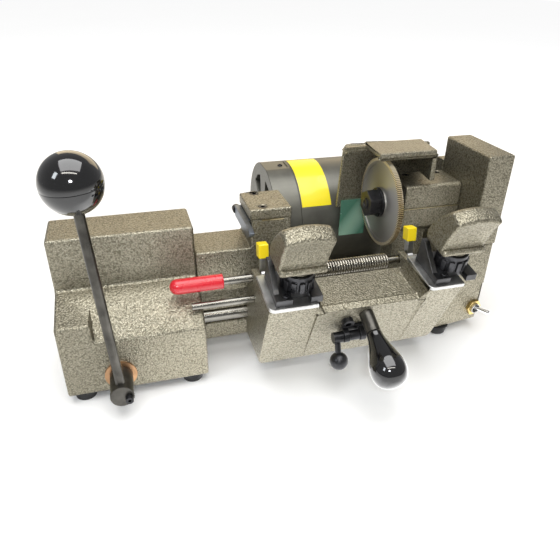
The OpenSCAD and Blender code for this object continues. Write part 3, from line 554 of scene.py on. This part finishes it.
def wing_block(name, i):
    """Cast wing of a vise: sections across its width, edges rounded, bore for the stud."""
    (u0, n0), (u1, n1) = KNOB_FOOT[-1], KNOB_BROW
    stations, front_steps = 12, 8
    verts, faces = [], []
    for j in range(stations + 1):
        t = 2 * j / stations - 1
        drop = KNOB_ARCH * t * t
        ring = list(KNOB_FOOT)
        for k in range(1, front_steps):
            f = k / front_steps
            ring.append((u0 + (u1 - u0) * f + KNOB_SAG * math.sin(math.pi * f) * (1 - 0.3 * t * t),
                         n0 + (n1 - drop - n0) * f))
        ring += [(u, n - drop) for u, n in KNOB_TOP]
        ring += [(u, n - share * drop) for u, n, share in KNOB_BACK]
        verts += [vise(i, STUD_X + t * KNOB_W / 2, u, n) for u, n in ring]
    size = len(verts) // (stations + 1)
    for j in range(stations):
        for k in range(size):
            a, b = j * size + k, j * size + (k + 1) % size
            faces.append((a, b, b + size, a + size))
    faces.append(tuple(reversed(range(size))))
    faces.append(tuple(range(stations * size, (stations + 1) * size)))
    o = add_mesh(name, verts, faces, HAMMER)
    tidy_faces(o)
    tool = lathe("bore_tool", [(15, 0.0), (15, STUD_R), (BORE_TOP, STUD_R), (BORE_TOP, 0.0)],
                 vise(i, STUD_X, STUD_U, 0), VN, HAMMER, 40)
    rounded(o, 0.0042, 4, 32)
    o.modifiers.new("bore", "BOOLEAN").object = tool
    baked = bpy.data.meshes.new_from_object(o.evaluated_get(bpy.context.evaluated_depsgraph_get()))
    o.modifiers.clear()
    o.data = baked
    bpy.data.objects.remove(tool)
    smooth_shaded(o)
    return o


SOCKET = [(-0.2, 0.0), (-0.2, 3.1), (1.5, 3.1), (1.9, 2.7), (1.9, 1.65), (0.6, 1.5), (0.6, 0.0)]
for i, side in enumerate(("left", "right")):
    screw = lathe("block_screw_" + side, SOCKET, vise(i, 16.6, 8.2, 7), VN, DARK, 32)
    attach(screw, "carriage")
    block = wing_block("wing_block_" + side, i)
    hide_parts("wing_knob_" + side)
    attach(block, "wing_" + side)
    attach(lathe("wing_hub_" + side, [(24.2, STUD_R), (24.2, 11.6), (24.6, 12.0), (28.6, 12.0),
                                       (28.6, STUD_R)], vise(i, STUD_X, STUD_U, 0), VN, HAMMER, 48),
            "wing_" + side)
    # rolled lip along the foot of the wing
    lip = lathe("wing_lip_" + side, [(0.0, 0.0)] + arc(LIP_R, 0, LIP_R, 165, 90, 5)
                + arc(KNOB_W - LIP_R, 0, LIP_R, 90, 15, 5) + [(KNOB_W, 0.0)],
                vise(i, STUD_X - KNOB_W / 2, 10.9, 31.4), (1, 0, 0), HAMMER, 40)
    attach(lip, "wing_" + side)

# end of the spindle nose inside the nut
NOSE = [(-0.2, 0.0), (-0.2, 6.3), (0.7, 6.3), (1.1, 5.8), (1.1, 3.7), (0.2, 3.4), (0.2, 0.0)]
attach(lathe("nose_end", NOSE, P(NOSE_X, *CUTTER_AT[1:]), (-1, 0, 0), DARK, 48), "spindle")

# turned rings round the motor bearing and the cover screw on the flat
RINGS = [(-0.3, 23.5), (0.9, 23.2), (1.2, 22.6), (1.2, 19.6), (0.3, 19.2), (0.3, 15.8), (1.3, 15.4),
         (1.3, 11.2), (0.4, 10.8), (0.4, 6.6), (-0.3, 6.5)]
COVER_SCREW = [(-0.4, 0.0), (-0.4, 3.0), (0.6, 3.0), (1.2, 2.5), (1.4, 1.4), (0.5, 1.2), (0.5, 0.0)]
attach(lathe("bearing_rings", RINGS, P(243.5, 204.5, 85.5), (-1, 0, 0), MOTOR, 72), "base")
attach(lathe("cover_screw", COVER_SCREW, P(265, 201.5, 153.6), (0, 0, 1), DARK, 32), "base")

# a moulded bead round each foot
FEET = [(15, 14), (15, 86), (120, 14), (437, 88), (408.5, 24), (256, 248), (384, 248)]
BEAD = [(8.2, 11.4), (8.2, 12.0), (8.7, 12.4), (9.3, 12.4), (9.8, 12.0), (9.8, 11.4)]
for k, (x, y) in enumerate(FEET):
    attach(lathe("foot_bead_%d" % k, BEAD, P(x, y, 0), (0, 0, 1), RUBBER, 40), "base")


# ------------------------------------------------------------- stage and light
floor = add_mesh("floor", [(-6, -4, 0), (6, -4, 0), (6, 8, 0), (-6, 8, 0)], [(0, 1, 2, 3)])
CARD_X, CARD_Y = 0.08, -0.14   # middle of the bright patch under the apron, in metres
m = Mat("paper_floor", (0.90, 0.90, 0.90), 0.0, 0.8)
m.color(m.mix(m.range(m.noise(2.0, 2), 0.3, 0.7, 0, 1), (0.90, 0.90, 0.90), (0.92, 0.92, 0.92)))
m.b.inputs["Emission Color"].default_value = (1, 1, 1, 1)
away = m.vector("LENGTH", m.co)
seen = m.range(away.outputs["Value"], 0.45, 1.6, 0.06, 0.66)
# only the patch under the apron throws extra light up into the castings; the camera sees it plain
spot = m.split()
in_y = m.range(m.math("ABSOLUTE", m.math("ADD", spot["Y"], -CARD_Y)), 0.06, 0.13, 1.0, 0.0)
in_x = m.range(m.math("ABSOLUTE", m.math("ADD", spot["X"], -CARD_X)), 0.18, 0.30, 1.0, 0.0)
thrown = m.math("ADD", m.math("MULTIPLY", m.math("MULTIPLY", in_x, in_y), 1.05), 0.04)
ray = m.node("ShaderNodeLightPath").outputs["Is Camera Ray"]
m.link(m.math("ADD", m.math("MULTIPLY", ray, m.math("SUBTRACT", seen, thrown)), thrown),
       m.b.inputs["Emission Strength"])
floor.data.materials.append(m.m)

world = bpy.data.worlds.new("studio")
world.use_nodes = True
bpy.context.scene.world = world
wn = world.node_tree
bg = wn.nodes["Background"]
bg.inputs["Color"].default_value = (1, 1, 1, 1)
path = wn.nodes.new("ShaderNodeLightPath")
glow = wn.nodes.new("ShaderNodeMapRange")
glow.inputs["To Min"].default_value = 0.32   # what the machine is lit by and reflects
glow.inputs["To Max"].default_value = 1.0    # what the camera sees
wn.links.new(path.outputs["Is Camera Ray"], glow.inputs["Value"])
wn.links.new(glow.outputs["Result"], bg.inputs["Strength"])


def area(name, at, target, size, power, color=(1, 1, 1)):
    light = bpy.data.lights.new(name, "AREA")
    light.shape = "RECTANGLE"
    light.size, light.size_y = size
    light.energy = power
    light.color = color
    o = bpy.data.objects.new(name, light)
    bpy.context.scene.collection.objects.link(o)
    o.location = at
    o.rotation_euler = (Vector(target) - Vector(at)).to_track_quat("-Z", "Y").to_euler()


# place, target, size in metres, watts, colour
area("top", (0.0, -0.15, 1.6), (0, 0, 0), (1.6, 1.2), 24)
area("back", (0.35, 1.7, 0.85), (0, 0, 0.1), (2.2, 1.0), 10, (1.0, 0.80, 0.50))
area("flash", (-0.16, -0.58, 0.46), (0, 0, 0.1), (0.09, 0.06), 1.0, (0.93, 0.97, 1.0))
area("strip", (-0.1, -0.95, 1.45), (0, 0, 0.1), (1.3, 0.10), 5, (1.0, 0.96, 0.88))
area("left", (-1.0, -0.55, 0.95), (0, 0, 0.1), (0.25, 0.40), 3, (0.9, 0.95, 1.0))

# ---------------------------------------------------------------------- camera
F_PX, IMAGE_PX = 541.79, 560    # focal length and picture width in pixels
SENSOR = 36                     # in millimetres
AZ, EL, ROLL = math.radians(-16.63), math.radians(30.10), math.radians(1.11)
EYE = (79.82, -429.04, 369.15)  # in the corner's frame
fwd = Vector((-math.sin(AZ) * math.cos(EL), math.cos(AZ) * math.cos(EL), -math.sin(EL)))
right = fwd.cross(Vector((0, 0, 1))).normalized()
up = right.cross(fwd)
rolled_right = math.cos(ROLL) * right + math.sin(ROLL) * up
rolled_up = -math.sin(ROLL) * right + math.cos(ROLL) * up
cam = bpy.data.cameras.new("camera")
cam.sensor_width = SENSOR
cam.lens = F_PX * SENSOR / IMAGE_PX
cam.clip_start = 0.01
co = bpy.data.objects.new("camera", cam)
bpy.context.scene.collection.objects.link(co)
rot = Matrix((rolled_right, rolled_up, -fwd)).transposed()
co.matrix_world = Matrix.Translation(P(*EYE)) @ rot.to_4x4()
bpy.context.scene.camera = co
bpy.context.scene.view_settings.view_transform = "Standard"
